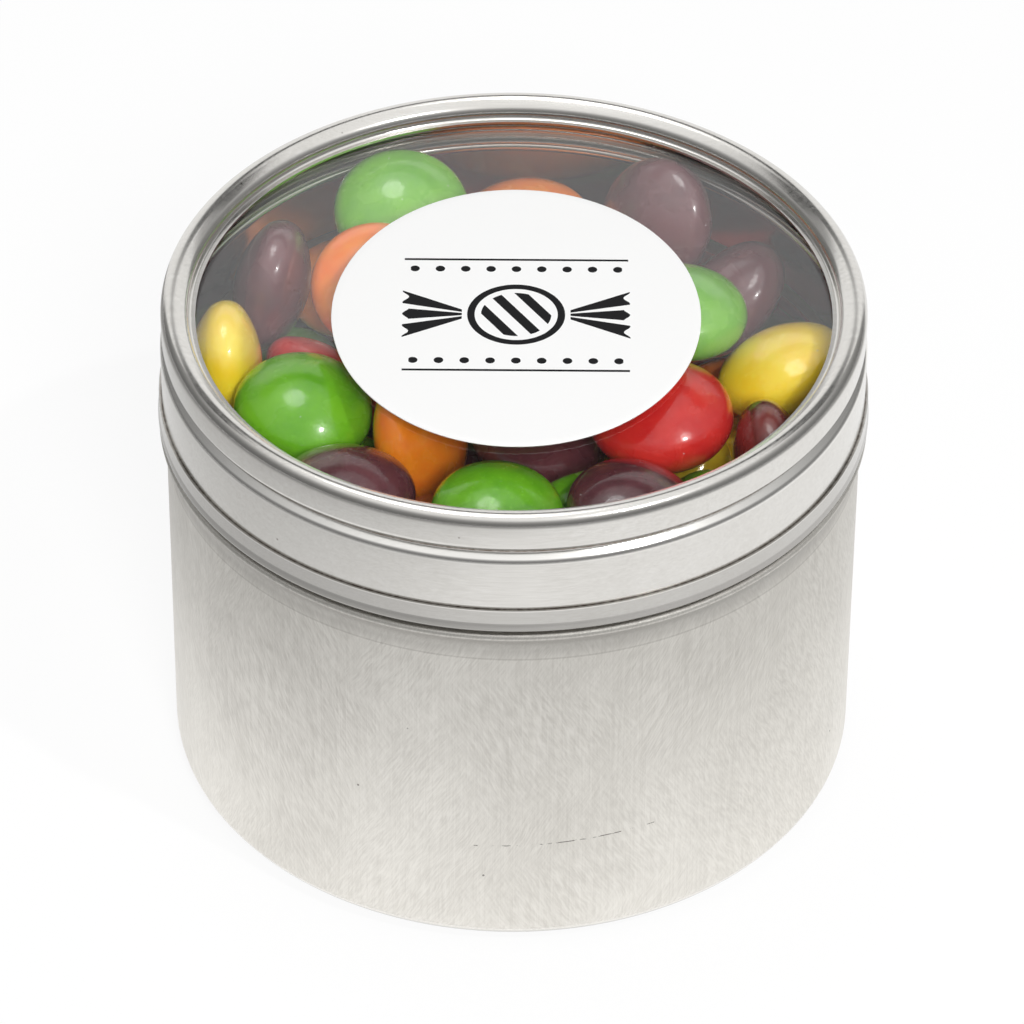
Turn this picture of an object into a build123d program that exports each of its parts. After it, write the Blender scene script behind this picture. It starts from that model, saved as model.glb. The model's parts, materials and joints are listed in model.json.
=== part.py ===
from build123d import *
import math
import os
import numpy as np

# Round slip-lid tin with a clear window in the lid, an oval label on the window, and a filling of
# shell-coated sweets. Millimetres; the origin is the centre of the base, +Z up, the front at -Y.
# Every metal piece is one drawn sheet, so each is a profile turned about the Z axis.

# overall
tin_height = 52.2            # base to the top of the lid's rim
body_radius = 33.0           # outside of the straight body wall
sheet = 0.25                 # tinplate
half_sheet = sheet / 2
quarter_turn = 90

# window: thin clear disc with a short turned-down rim, held between groove and flange
rim_height = 2.0             # how far the lid's rim stands above the window
window_top = tin_height - rim_height
window_sheet = 0.4
window_depth = 1.38
window_bend = 0.25
window_side_gap = 0.3        # between the window's rim and the upper wall
window_fit = 0.05            # between the window and the flange over it or the ramp under it

# lid: drawn frame that holds the window; bends are along the middle of its sheet
lid_slip = 0.15              # radial clearance between the neck and the skirt
neck_inset = 0.1             # how far the neck is drawn in from the wall
tier_inset = 0.15            # how far the upper wall is drawn in from the skirt
tier_bend = 0.78             # where the upper wall turns in to the groove
groove_depth = 0.75          # from the upper wall in to the groove's floor, over a ramp at 45 degrees
groove_width = 0.32
groove_bend = 0.15
shoulder_fall = 0.55         # from the groove down to the skirt
shoulder_bend = 0.72
skirt_height = 8.18          # from the lid's lowest point to the shoulder
hem_height = 2.95            # from the lid's lowest point to the raw edge of the outward hem
hem_fold = 0.16              # radius of the fold at the bottom of the hem
hem_crease = 1.45            # from the lid's lowest point to the crease in the hem's leaf
hem_crease_bend = 0.4
hem_swell = 0.09             # how far the leaf stands out past the fold at the crease
hem_close = 0.05             # how far the leaf leans back from the crease to its raw edge
rim_width = 2.6              # from the upper wall's outside to the rim's inner wall
rim_lean = 33                # degrees by which the rim's top falls towards the window
rim_bend = 0.95
flange_width = 0.65          # how far the flange reaches in over the window
flange_bend = 0.2
window_drop = groove_depth - half_sheet - window_side_gap  # from the rest of the window's rim
groove_top = window_top - window_depth - (window_fit + half_sheet) * math.sqrt(2) - window_drop
groove_bottom = groove_top - groove_width
shoulder_top = groove_bottom - shoulder_fall
hem_bottom = shoulder_top - skirt_height
hem_top = hem_bottom + hem_height
neck_radius = body_radius - neck_inset
tier_radius = neck_radius + lid_slip + sheet - tier_inset
rim_inner_radius = tier_radius - rim_width
flange_radius = rim_inner_radius - flange_width

# body: drawn cup; bends are along the middle of its sheet
base_corner = 2.5            # where the wall meets the base
ring_width = 6.0             # from the wall's outside in to the flat raised middle of the base
panel_rise = 0.8
panel_slope = 1.6            # width of the ramp from the raised middle down to the standing ring
panel_bend = 0.9
stop_gap = 0.73              # from the stop bead's crest to the lid's lowest point
bead_height = 1.1            # from the middle of the flare's bend to the bead's crest
bead_swell = 0.8             # how far the stop bead stands out of the wall
bead_swell_bend = 3.0        # of the flare under the crest
bead_bend = 0.2
bead_shoulder = 0.2          # rise from the crest to the foot of the neck
neck_bend = 0.3
mouth_room = 1.6             # from the rolled mouth up to the bottom of the groove
mouth_roll = 1.0             # outside diameter of the rolled mouth
mouth_turn = 255             # degrees of the roll
panel_radius = body_radius - ring_width
bead_crest = hem_bottom - stop_gap
bead_foot = bead_crest - bead_height
mouth_height = groove_bottom - mouth_room

# label: oval sticker on the window
label_width = 34.7
label_length = 39.2
label_sheet = 0.12
label_offset = (0.2, -0.5)

# sweets: flattened balls that fill the tin; they settle as ellipsoids, whose surfaces lie within 0.1
sweet_girth = 13.2           # largest diameter
sweet_depth = 7.6            # thickness along the short axis
sweet_edge = 2.4             # radius of the rounded edge
sweet_gap = 0.1              # least room between two sweets
sweet_wall_gap = 0.15        # least room between a sweet and metal
sweet_window_gap = 0.4       # least room under the window
middle_room = 4.8            # free height under the window over the low middle of the heap
fill_share = 0.52            # share of the room in the tin that sweets take up
top_lift = 0.3               # how far settling may lift a sweet of the top layer
top_give_share = 0.02        # how easily the top layer gives way, beside the sweets below it
lower_lean = 60              # most that a lower sweet starts out tipped, in degrees
settle_share = 0.5           # part of each overlap that one round of settling undoes
settle_rounds = 1200         # at most
settle_grid = 0.0001         # places are rounded to this, so that the same heap comes out at any scale
wall_turn = 10               # degrees between the directions in which sweets are kept off the wall
contact_shares = np.linspace(0.2, 0.8, 7)  # places along two sweets' centre line that a contact tries

# The top layer, placed by eye. Each row holds the centre's x and y as shares of the inner radius, its
# height as a share of the window's height, the sweet's own size as a share of the usual one, the
# lean of its short axis from upright and the heading of that lean, both in degrees.
top_layer_shares = {
    "sweet_green_back": (-0.335, 0.73, 0.892, 1.02, 24, -60),
    "sweet_orange_left": (-0.394, 0.366, 0.888, 1.0, 26, -70),
    "sweet_purple_left": (-0.718, 0.424, 0.843, 0.98, 90, 0),
    "sweet_yellow_left": (-0.821, 0.021, 0.855, 0.96, 90, 5),
    "sweet_red_left": (-0.589, 0.189, 0.753, 0.95, 54, 37),
    "sweet_green_left": (-0.602, -0.253, 0.892, 1.0, 6, -90),
    "sweet_orange_front": (-0.266, -0.299, 0.855, 1.0, 63, -24),
    "sweet_purple_front_left": (-0.485, -0.614, 0.892, 0.97, 6, 60),
    "sweet_green_front": (-0.031, -0.705, 0.892, 0.95, 4, -90),
    "sweet_purple_middle": (0.064, -0.18, 0.793, 0.98, 10, 0),
    "sweet_purple_front_right": (0.324, -0.681, 0.888, 0.95, 8, 0),
    "sweet_red_right": (0.427, -0.269, 0.896, 1.04, 5, -90),
    "sweet_green_right": (0.504, 0.192, 0.902, 0.97, 10, 0),
    "sweet_purple_right": (0.653, 0.476, 0.799, 1.0, 48, 179),
    "sweet_purple_back": (0.434, 0.724, 0.867, 0.97, 60, -138),
    "sweet_orange_back": (0.006, 0.751, 0.839, 1.0, 5, 0),
    "sweet_yellow_right": (0.82, 0.026, 0.867, 0.98, 16, 170),
    "sweet_maroon_right": (0.724, -0.376, 0.843, 0.93, 85, 10),
}
lower_colours = ("red", "orange", "yellow", "green", "purple")

inner_radius = body_radius - sheet
mouth_inner = neck_radius - mouth_roll
window_bottom = window_top - window_sheet
os.makedirs("parts", exist_ok=True)


# body: along the middle of the sheet, from the middle of the base out to the wall, up past the stop
# bead and into the rolled mouth; the end on the axis is cut square
wall = body_radius - half_sheet
neck = neck_radius - half_sheet
mouth_middle = mouth_height - mouth_roll / 2
with BuildPart() as tin_body:
    with BuildSketch(Plane.XZ):
        with BuildLine():
            FilletPolyline(
                (0, panel_rise + half_sheet),
                (panel_radius, panel_rise + half_sheet),
                (panel_radius + panel_slope, half_sheet),
                (wall, half_sheet),
                (wall, bead_foot),
                (wall + bead_swell, bead_crest),
                (neck, bead_crest + bead_shoulder),
                (neck, mouth_middle),
                radius=[panel_bend, panel_bend, base_corner, bead_swell_bend, bead_bend, neck_bend],
            )
            mouth_radius = mouth_roll / 2 - half_sheet
            CenterArc((neck - mouth_radius, mouth_middle), mouth_radius, 0, mouth_turn)
            offset(amount=half_sheet)
        make_face()
        with Locations((0, panel_rise)):
            Rectangle(sheet, panel_rise, align=(Align.MAX, Align.CENTER), mode=Mode.SUBTRACT)
    revolve(axis=Axis.Z)
tin_body.part.label = "tin_body"

# lid frame: along the middle of the sheet, from the flange over the rim, the upper wall, the groove,
# the shoulder and the skirt to the outward hem
window_seat = window_top + window_fit + half_sheet
tier = tier_radius - half_sheet
rim_start = rim_inner_radius + half_sheet
rim_peak = tin_height - half_sheet - rim_bend
rim_peak += rim_bend * math.tan(math.radians(quarter_turn + rim_lean) / 2)
rim_inner_peak = rim_peak - (tier - rim_start) * math.tan(math.radians(rim_lean))
groove_floor = tier - groove_depth
skirt = neck_radius + lid_slip + half_sheet
hem_middle = hem_bottom + half_sheet + hem_fold
hem_leaf = skirt + hem_fold * 2
with BuildPart() as lid_frame:
    with BuildSketch(Plane.XZ):
        with BuildLine():
            FilletPolyline(
                (flange_radius, window_seat),
                (rim_start, window_seat),
                (rim_start, rim_inner_peak),
                (tier, rim_peak),
                (tier, groove_top + groove_depth),
                (groove_floor, groove_top),
                (groove_floor, groove_bottom),
                (skirt, shoulder_top),
                (skirt, hem_middle),
                radius=[flange_bend, rim_bend, rim_bend, tier_bend, groove_bend, groove_bend, shoulder_bend],
            )
            CenterArc((skirt + hem_fold, hem_middle), hem_fold, 180, 180)
            FilletPolyline(
                (hem_leaf, hem_middle),
                (hem_leaf + hem_swell, hem_bottom + hem_crease),
                (hem_leaf + hem_swell - hem_close, hem_top),
                radius=hem_crease_bend,
            )
            offset(amount=half_sheet)
        make_face()
    revolve(axis=Axis.Z)
lid_frame.part.label = "lid_frame"

# window: flat disc whose edge turns down inside the upper wall and rests on the ramp of the groove
half_window = window_sheet / 2
window_edge = tier_radius - sheet - window_side_gap - half_window
with BuildPart() as window:
    with BuildSketch(Plane.XZ):
        with BuildLine():
            FilletPolyline(
                (0, window_top - half_window),
                (window_edge, window_top - half_window),
                (window_edge, window_top - window_depth + half_window),
                radius=window_bend,
            )
            offset(amount=half_window)
        make_face()
        with Locations((0, window_top)):
            Rectangle(window_sheet, window_depth, align=(Align.MAX, Align.CENTER), mode=Mode.SUBTRACT)
    revolve(axis=Axis.Z)
window.part.label = "window"

# label: stuck on the outside of the window
with BuildPart() as label:
    with BuildSketch(Plane.XY.offset(window_top)):
        with Locations(label_offset):
            Ellipse(label_width / 2, label_length / 2)
    extrude(amount=label_sheet)
label.part.label = "label"


def lower_layer_start(count, floor, top):
    """Spread the lower sweets evenly through the tin: one row per sweet, as in the top layer.

    Multiples of the powers of the root of x^4 = x + 1, taken without their whole part, fill the
    space evenly without a pattern.
    """
    spread = max(np.roots([1, 0, 0, -1, -1]).real)
    turn, across, lean = (np.outer(np.arange(count) + 1, [spread**-1, spread**-2, spread**-3]) % 1).T
    height = (np.arange(count) + 1 / 2) / count
    radius = (inner_radius - sweet_girth / 2) * np.sqrt(across)
    heading = np.arange(count) * (math.sqrt(5) - 1) / 2 % 1 * 360
    return np.column_stack([
        radius * np.cos(turn * 2 * math.pi),
        radius * np.sin(turn * 2 * math.pi),
        floor + sweet_depth / 2 + (top - floor - sweet_depth) * height,
        np.ones(count),
        lower_lean * lean,
        heading,
    ])


def short_axes(rows):
    """Unit vector along each sweet's short axis, from its lean and its heading."""
    lean, heading = np.radians(rows[:, 4]), np.radians(rows[:, 5])
    return np.column_stack([np.sin(lean) * np.cos(heading), np.sin(lean) * np.sin(heading), np.cos(lean)])


def shape_matrices(axes, half_girth, half_depth):
    """Matrix of each sweet whose quadratic form gives its squared reach in any direction."""
    along = axes[:, :, None] * axes[:, None, :]
    return half_girth[:, None, None] ** 2 * (np.eye(3) - along) + half_depth[:, None, None] ** 2 * along


def contacts(centres, shapes, first, second):
    """Overlap depth, contact normal and lever arms of each pair of sweets.

    For two ellipsoids, s (1 - s) r ((1 - s) A + s B)^-1 r, at its largest over s, is the
    square of the factor by which both can grow until they touch.
    """
    apart = centres[second] - centres[first]
    shares = contact_shares[:, None]
    mixed = (1 - shares[..., None, None]) * shapes[first] + shares[..., None, None] * shapes[second]
    pulled = np.linalg.solve(mixed, np.broadcast_to(apart[..., None], mixed.shape[:-1] + (1,)))[..., 0]
    growth = shares * (1 - shares) * (pulled * apart).sum(-1)
    best = growth.argmax(0)
    pair = np.arange(len(first))
    pulled, share, growth = pulled[best, pair], shares[best], growth[best, pair]
    normal = pulled / np.linalg.norm(pulled, axis=1, keepdims=True)
    depth = (1 / np.sqrt(growth) - 1) * (normal * apart).sum(1)
    arm_first = (1 - share) * np.einsum("ijk,ik->ij", shapes[first], pulled)
    arm_second = -share * np.einsum("ijk,ik->ij", shapes[second], pulled)
    return depth, normal, arm_first, arm_second


def settle(rows, give, ceilings, floor):
    """Push and turn the sweets apart until none overlaps another or leaves the tin.

    give says how easily each sweet moves, and inertia is an even ellipsoid's, for a mass of 1.
    Returns the centres, the short axes and the sizes.
    """
    centres = rows[:, :3].copy()
    axes = short_axes(rows)
    half_girth = (sweet_girth * rows[:, 3] + sweet_gap) / 2
    half_depth = (sweet_depth * rows[:, 3] + sweet_gap) / 2
    inertia = (half_girth**2 + half_depth**2) / 5
    around = np.radians(np.arange(0, 360, wall_turn))
    outward = np.column_stack([np.cos(around), np.sin(around), np.zeros(len(around))])
    axis_grid = settle_grid / sweet_girth
    every_first, every_second = np.triu_indices(len(rows), 1)
    widest = 2 * half_girth.max()
    roll_bottom = mouth_height - mouth_roll
    for _ in range(settle_rounds):
        shapes = shape_matrices(axes, half_girth, half_depth)
        apart = centres[every_second] - centres[every_first]
        near = (apart**2).sum(1) < widest**2
        first, second = every_first[near], every_second[near]
        depth, normal, arm_first, arm_second = contacts(centres, shapes, first, second)
        deep = np.clip(depth, 0, None)
        turn_first, turn_second = np.cross(arm_first, normal), np.cross(arm_second, normal)
        ease_first = give[first] * (1 + (turn_first**2).sum(1) / inertia[first])
        ease_second = give[second] * (1 + (turn_second**2).sum(1) / inertia[second])
        step = settle_share * deep / (ease_first + ease_second)
        shift, spin = np.zeros_like(centres), np.zeros_like(centres)
        np.add.at(shift, first, -(step * give[first])[:, None] * normal)
        np.add.at(shift, second, (step * give[second])[:, None] * normal)
        np.add.at(spin, first, -(step * give[first] / inertia[first])[:, None] * turn_first)
        np.add.at(spin, second, (step * give[second] / inertia[second])[:, None] * turn_second)
        centres += shift
        axes += np.cross(spin, axes)
        axes /= np.linalg.norm(axes, axis=1, keepdims=True)
        shapes = shape_matrices(axes, half_girth, half_depth)
        half_height = np.sqrt(shapes[:, 2, 2])
        wall = np.where(centres[:, 2] + half_height > roll_bottom, mouth_inner, inner_radius)
        reach = np.sqrt(np.einsum("ij,njk,ik->ni", outward, shapes, outward)) + centres @ outward.T
        past = reach - (wall - sweet_wall_gap)[:, None]
        centres -= np.clip(past.max(1), 0, None)[:, None] * outward[past.argmax(1)]
        centres[:, 2] = np.clip(centres[:, 2], floor + half_height, ceilings - half_height)
        centres = np.round(centres / settle_grid) * settle_grid
        axes = np.round(axes / axis_grid) * axis_grid
        if deep.max() < sweet_gap / 3:
            break
    print("sweets", len(rows), "deepest overlap of their gaps", round(float(deep.max()), 3))
    return centres, axes, rows[:, 3]


# the heap: the top layer by eye, the lower sweets spread through the tin, then all settled
heap_floor = panel_rise + sheet + sweet_wall_gap
heap_top = window_bottom - middle_room
top_rows = np.array(list(top_layer_shares.values()), dtype=float)
top_rows[:, :2] *= inner_radius
top_rows[:, 2] *= window_bottom
room = math.pi * inner_radius**2 * (heap_top - heap_floor)
sweet_volume = math.pi / 6 * sweet_girth**2 * sweet_depth
lower_count = round(fill_share * room / sweet_volume) - len(top_rows)
lower_rows = lower_layer_start(lower_count, heap_floor, heap_top)
top_shapes = shape_matrices(
    short_axes(top_rows), sweet_girth * top_rows[:, 3] / 2, sweet_depth * top_rows[:, 3] / 2
)
top_reach = top_rows[:, 2] + np.sqrt(top_shapes[:, 2, 2])
top_ceilings = np.minimum(top_reach + top_lift, window_bottom - sweet_window_gap)
ceilings = np.append(top_ceilings, np.full(lower_count, heap_top))
give = np.append(np.full(len(top_rows), top_give_share), np.ones(lower_count))
centres, axes, sizes = settle(np.vstack([top_rows, lower_rows]), give, ceilings, heap_floor)

# one named piece for each sweet of the top layer, and one group of separate sweets for each colour
# below it; the profile of a sweet's upper half is a small arc round the edge and a large one over the
# crown, which touch without a corner where both turn by crown_start; the lower half is its mirror image
first_lower = len(top_layer_shares)
pieces = {name: [row] for row, name in enumerate(top_layer_shares)}
for turn, colour in enumerate(lower_colours):
    pieces[f"sweets_below_{colour}"] = range(first_lower + turn, len(centres), len(lower_colours))
for name, rows in pieces.items():
    half_girth = sweet_girth * sizes[rows[0]] / 2
    half_depth = sweet_depth * sizes[rows[0]] / 2
    edge = sweet_edge * sizes[rows[0]]
    edge_centre = half_girth - edge
    crown = (edge_centre**2 + half_depth**2 - edge**2) / (half_depth - edge) / 2
    crown_start = math.degrees(math.atan2(crown - half_depth, edge_centre))
    with BuildPart() as sweet:
        with BuildSketch(Plane.XZ):
            with BuildLine():
                CenterArc((edge_centre, 0), edge, 0, crown_start)
                CenterArc((0, half_depth - crown), crown, crown_start, quarter_turn - crown_start)
                Polyline((0, half_depth), (0, 0), (half_girth, 0))
            make_face()
        revolve(axis=Axis.Z)
        mirror(about=Plane.XY)
    with BuildPart() as sweets:
        for row in rows:
            with Locations(Plane(origin=tuple(centres[row]), z_dir=tuple(axes[row]))):
                add(sweet.part)
    sweets.part.label = name
    export_step(sweets.part, f"parts/{name}.step")

export_step(tin_body.part, "parts/tin_body.step")
export_step(lid_frame.part, "parts/lid_frame.step")
export_step(window.part, "parts/window.step")
export_step(label.part, "parts/label.step")
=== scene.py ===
# Round window-lid tin of shell-coated sweets. Metres, +Z up, the front at -Y.
import json
import math
import bmesh
import bpy
import numpy as np
from mathutils import Matrix, Vector


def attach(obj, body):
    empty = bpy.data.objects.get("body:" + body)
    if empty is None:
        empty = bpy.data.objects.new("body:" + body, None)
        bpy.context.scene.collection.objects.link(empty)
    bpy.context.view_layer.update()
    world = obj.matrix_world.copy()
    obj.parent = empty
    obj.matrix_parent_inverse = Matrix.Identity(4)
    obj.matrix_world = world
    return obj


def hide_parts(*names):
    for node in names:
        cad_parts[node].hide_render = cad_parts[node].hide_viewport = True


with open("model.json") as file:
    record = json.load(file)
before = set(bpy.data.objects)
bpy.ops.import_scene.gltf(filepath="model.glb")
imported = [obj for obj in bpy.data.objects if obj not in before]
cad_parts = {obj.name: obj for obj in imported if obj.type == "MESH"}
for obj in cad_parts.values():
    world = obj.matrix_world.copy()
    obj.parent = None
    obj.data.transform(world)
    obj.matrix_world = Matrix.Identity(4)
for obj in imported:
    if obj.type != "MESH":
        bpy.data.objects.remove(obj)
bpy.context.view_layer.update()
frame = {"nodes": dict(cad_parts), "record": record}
print("frame loaded:", len(frame["nodes"]), "nodes")


# Curves and surfaces

precision = dict(
    sharpDegrees=50,        # faces that meet at more than this show an edge
    mergeDistance=1e-6,
    zeroLength=1e-9,
)


def roundedLine(points, radii, steps=10):
    # runs between the points; each inner corner gives way to an arc of its radius that touches both
    points = np.asarray(points, float)
    line = [points[:1]]
    for before, corner, after, radius in zip(points, points[1:], points[2:], radii):
        toBefore = (before - corner) / np.linalg.norm(before - corner)
        toAfter = (after - corner) / np.linalg.norm(after - corner)
        half = math.acos(float(toBefore @ toAfter)) / 2
        middle = (toBefore + toAfter) / np.linalg.norm(toBefore + toAfter)
        centre = corner + middle * radius / math.sin(half)
        start = corner + toBefore * radius / math.tan(half) - centre
        end = corner + toAfter * radius / math.tan(half) - centre
        sweep = math.pi - 2 * half
        share = np.linspace(0, 1, steps + 1)[:, None]
        arc = np.sin((1 - share) * sweep) * start + np.sin(share * sweep) * end
        line.append(centre + arc / math.sin(sweep))
    line.append(points[-1:])
    return np.concatenate(line)


def arcLine(centre, radius, startDegrees, turnDegrees, steps=20):
    # points at even angles on a circle about the centre
    angle = np.radians(startDegrees + np.linspace(0, turnDegrees, steps + 1))
    x, y = centre
    return np.column_stack([x + radius * np.cos(angle), y + radius * np.sin(angle)])


def spaced(line, longest):
    # the same line with no run longer than the given length
    runs = np.linalg.norm(np.diff(line, axis=0), axis=1)
    real = runs > precision["zeroLength"]
    line = line[np.append(True, real)]
    along = np.append(0, np.cumsum(runs[real]))
    parts = [np.linspace(a, b, max(1, math.ceil((b - a) / longest)), endpoint=False)
             for a, b in zip(along, along[1:])]
    at = np.append(np.concatenate(parts), along[-1])
    return np.column_stack([np.interp(at, along, line[:, 0]), np.interp(at, along, line[:, 1])])


def sheetSection(line, sheet):
    # both faces of a sheet: each point of its middle line moved half the sheet along the line's
    # normal
    slope = np.gradient(line, axis=0)
    slope /= np.linalg.norm(slope, axis=1)[:, None]
    normal = np.column_stack([-slope[:, 1], slope[:, 0]])
    one, other = line + normal * sheet / 2, line - normal * sheet / 2
    section = np.concatenate([one, other[::-1]])
    section[:, 0] = np.clip(section[:, 0], 0, None)
    return section


def fullTurn(steps):
    # even angles once round
    return np.arange(steps) / steps * 2 * math.pi


def gridFaces(rows, columns, wrapRows=False, wrapColumns=False):
    # four-sided faces between the points of a grid, which closes on itself where it wraps
    i, j = np.meshgrid(np.arange(rows if wrapRows else rows - 1),
                       np.arange(columns if wrapColumns else columns - 1), indexing="ij")
    nextI, nextJ = (i + 1) % rows, (j + 1) % columns
    return np.stack([i * columns + j, nextI * columns + j,
                     nextI * columns + nextJ, i * columns + nextJ], -1)


def newObject(name, data):
    made = bpy.data.objects.new(name, data)
    bpy.context.scene.collection.objects.link(made)
    return made


def closedPiece(name, places, faces):
    # a mesh of the given points and faces, its poles merged, its faces turned outwards
    mesh = bpy.data.meshes.new(name)
    mesh.from_pydata(places.reshape(-1, 3).tolist(), [], faces.reshape(-1, 4).tolist())
    form = bmesh.new()
    form.from_mesh(mesh)
    bmesh.ops.remove_doubles(form, verts=form.verts, dist=precision["mergeDistance"])
    bmesh.ops.recalc_face_normals(form, faces=form.faces)
    form.to_mesh(mesh)
    form.free()
    mesh.shade_smooth()
    mesh.set_sharp_from_angle(angle=math.radians(precision["sharpDegrees"]))
    return newObject(name, mesh)


def turned(name, section, segments):
    # the closed section carried round the Z axis: x = r cos a, y = r sin a, z = z
    angle = fullTurn(segments)
    radius, height = section.T
    grid = np.stack([np.outer(np.cos(angle), radius), np.outer(np.sin(angle), radius),
                     np.broadcast_to(height, (segments, len(section)))], -1)
    central = radius < precision["zeroLength"]
    onAxis = central & np.roll(central, -1)
    faces = gridFaces(segments, len(section), wrapRows=True, wrapColumns=True)
    return closedPiece(name, grid, faces[:, ~onAxis])


# Materials

class Finish:
    # a material's node tree, with short ways to add and join nodes
    def __init__(self, name):
        self.material = bpy.data.materials.new(name)
        self.material.use_nodes = True
        self.tree = self.material.node_tree
        self.shader = self.tree.nodes["Principled BSDF"]
        self.output = self.tree.nodes["Material Output"]
        self.place = self.add("ShaderNodeTexCoord").outputs["Object"]

    def add(self, kind, inputs=None, **settings):
        node = self.tree.nodes.new(kind)
        for key, value in settings.items():
            setattr(node, key, value)
        for key, value in (inputs or {}).items():
            self.feed(node.inputs[key], value)
        return node

    def feed(self, socket, value):
        if isinstance(value, bpy.types.NodeSocket):
            self.tree.links.new(value, socket)
        else:
            socket.default_value = value

    def math(self, operation, *values):
        return self.add("ShaderNodeMath", dict(enumerate(values)), operation=operation).outputs[0]

    def plus(self, one, other):
        return self.math("ADD", one, other)

    def minus(self, one, other):
        return self.math("SUBTRACT", one, other)

    def times(self, one, other):
        return self.math("MULTIPLY", one, other)

    def greatest(self, one, other):
        return self.math("MAXIMUM", one, other)

    def above(self, value, level):
        # 1 where the value is over the level, else 0
        return self.math("GREATER_THAN", value, level)

    def below(self, value, level):
        return self.math("LESS_THAN", value, level)

    def between(self, value, low, high):
        return self.times(self.above(value, low), self.below(value, high))

    def distance(self, x, y):
        # the root of x squared plus y squared
        return self.math("SQRT", self.plus(self.math("POWER", x, 2.0), self.math("POWER", y, 2.0)))

    def choose(self, share, one, other):
        # the one value where the share is 1, the other where it is 0
        return self.plus(self.times(one, share), self.times(other, self.minus(1.0, share)))

    def spread(self, value, low, high, newLow=0.0, newHigh=1.0):
        # low..high carried over to newLow..newHigh, held at both ends
        return self.add("ShaderNodeMapRange", {"Value": value, "From Min": low, "From Max": high,
                                               "To Min": newLow, "To Max": newHigh}).outputs[0]

    def band(self, value, rise, fall):
        # 1 between two soft borders: it climbs over the rise's two values and drops over the fall's
        return self.times(self.spread(value, *rise), self.spread(value, *fall, 1.0, 0.0))

    def split(self, place):
        parts = self.add("ShaderNodeSeparateXYZ", {0: place}).outputs
        return parts["X"], parts["Y"], parts["Z"]

    def scaled(self, scale, place=None):
        # the place stretched by a scale on each axis
        return self.add("ShaderNodeVectorMath", {0: place or self.place, 1: scale},
                        operation="MULTIPLY").outputs[0]

    def noise(self, place, detail, roughness, scale=1.0):
        return self.add("ShaderNodeTexNoise", {"Vector": place, "Scale": scale, "Detail": detail,
                                               "Roughness": roughness}).outputs["Fac"]

    def cells(self, scale, **settings):
        return self.add("ShaderNodeTexVoronoi", {"Vector": self.place, "Scale": scale},
                        **settings).outputs

    def specks(self, scale, channel, least, core, edge, strength):
        # spots at the middles of the few cells whose own random number, a channel of the cell's
        # colour, is over the least: at full strength within the core, faded out at the edge
        cell = self.cells(scale)
        number = self.add("ShaderNodeSeparateColor", {0: cell["Color"]}).outputs[channel]
        spot = self.spread(cell["Distance"], core, edge, strength, 0.0)
        return self.times(self.above(number, least), spot)

    def blend(self, share, one, other, kind="MIX"):
        # two colours, which the node takes at inputs 6 and 7 and gives back at output 2
        node = self.add("ShaderNodeMix", data_type="RGBA", blend_type=kind)
        self.feed(node.inputs["Factor"], share)
        self.feed(node.inputs[6], one)
        self.feed(node.inputs[7], other)
        return node.outputs[2]

    def bump(self, height, strength, distance, under=None):
        inputs = {"Height": height, "Strength": strength, "Distance": distance}
        if under is not None:
            inputs["Normal"] = under
        return self.add("ShaderNodeBump", inputs).outputs[0]

    def set(self, **values):
        for key, value in values.items():
            self.feed(self.shader.inputs[key.replace("_", " ")], value)

    def mixed(self, share, one, other):
        return self.add("ShaderNodeMixShader", {0: share, 1: one, 2: other}).outputs[0]

    def show(self, shader):
        # another shader takes the place of the usual one
        self.tree.nodes.remove(self.shader)
        self.feed(self.output.inputs["Surface"], shader)


def colour(red, green, blue):
    return (red, green, blue, 1.0)


# Tinplate: pale grey metal with hairlines, faint clouding and small dark pits. Two numbers in
# brackets are where a soft border starts and ends; four carry the first two over to the last two.
# A bump's two are its strength and its height.

tinplate = dict(
    grainWidth=0.00016,
    grainLength=0.009,
    grainHeight=0.000004,
    cloud=dict(scale=1 / 0.009, detail=4.0, roughness=0.6),
    pit=colour(0.20, 0.18, 0.16),
    pits=dict(scale=420.0, channel=0, least=0.93, core=0.03, edge=0.06, strength=0.8),
)
bodyMetal = dict(
    light=colour(0.95, 0.925, 0.87),
    dark=colour(0.81, 0.785, 0.735),
    upright=dict(detail=4.0, roughness=0.65),
    uprightShare=0.35,
    slanted=dict(detail=3.0, roughness=0.6),
    slantedShare=0.65,
    slantedLength=0.0013,
    slants=((1, 0.6), (-1, 0.9)),   # the way that each set winds, and how fine it is
    twist=15.0,                     # how far it winds, in radians a metre of height
    swing=dict(scale=160.0, detail=2.0, roughness=0.5),
    swingAngle=(0.3, 0.7, -0.008, 0.008),
    patch=dict(scale=60.0, detail=2.0, roughness=0.5),
    patchBorder=(0.42, 0.58),
    grainTone=(0.40, 0.60, 0.0, 0.62),
    cloudStretch=(1, 1, 0.7),
    cloudTone=(0.35, 0.7, 0.0, 0.4),
    # painted shade: multiplies the wall's colour, more the higher it goes
    shade=colour(0.82, 0.82, 0.82),
    shadeRise=(0.004, 0.034),
    # painted shade: the colour that darkens the metal under the bead and along the foot
    stretched=colour(0.42, 0.405, 0.38),
    beadRise=(0.0354, 0.0378, 0.0, 0.85),
    beadFall=(0.03835, 0.0385, 1.0, 0.0),
    footFall=(0.0008, 0.0015, 0.95, 0.0),
    drawLine=dict(height=0.0356, border=(0.00004, 0.00014, 1.0, 0.0), share=0.2),
    scratch=dict(height=0.01255, slope=0.04, half=0.00005, start=-0.004, end=0.0135,
                 gaps=dict(scale=900.0, detail=3.0, roughness=0.6), gapStretch=(1, 1, 4),
                 least=0.52, share=0.95),
    grainRoughness=(0.35, 0.65, 0.48, 0.64),
    wide=dict(scale=0.25 / 0.009, detail=2.0, roughness=0.5),   # four times as wide as the clouds
    wideStretch=(1, 1, 0.35),
    wideRoughness=(0.35, 0.65, -0.04, 0.05),
    brightRadius=0.03282,           # within it lie the inside, the mouth's roll and the base
    brightRoughness=0.17,
    grainStrength=0.5,
    lineBump=(0.3, 0.00002),
)


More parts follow.
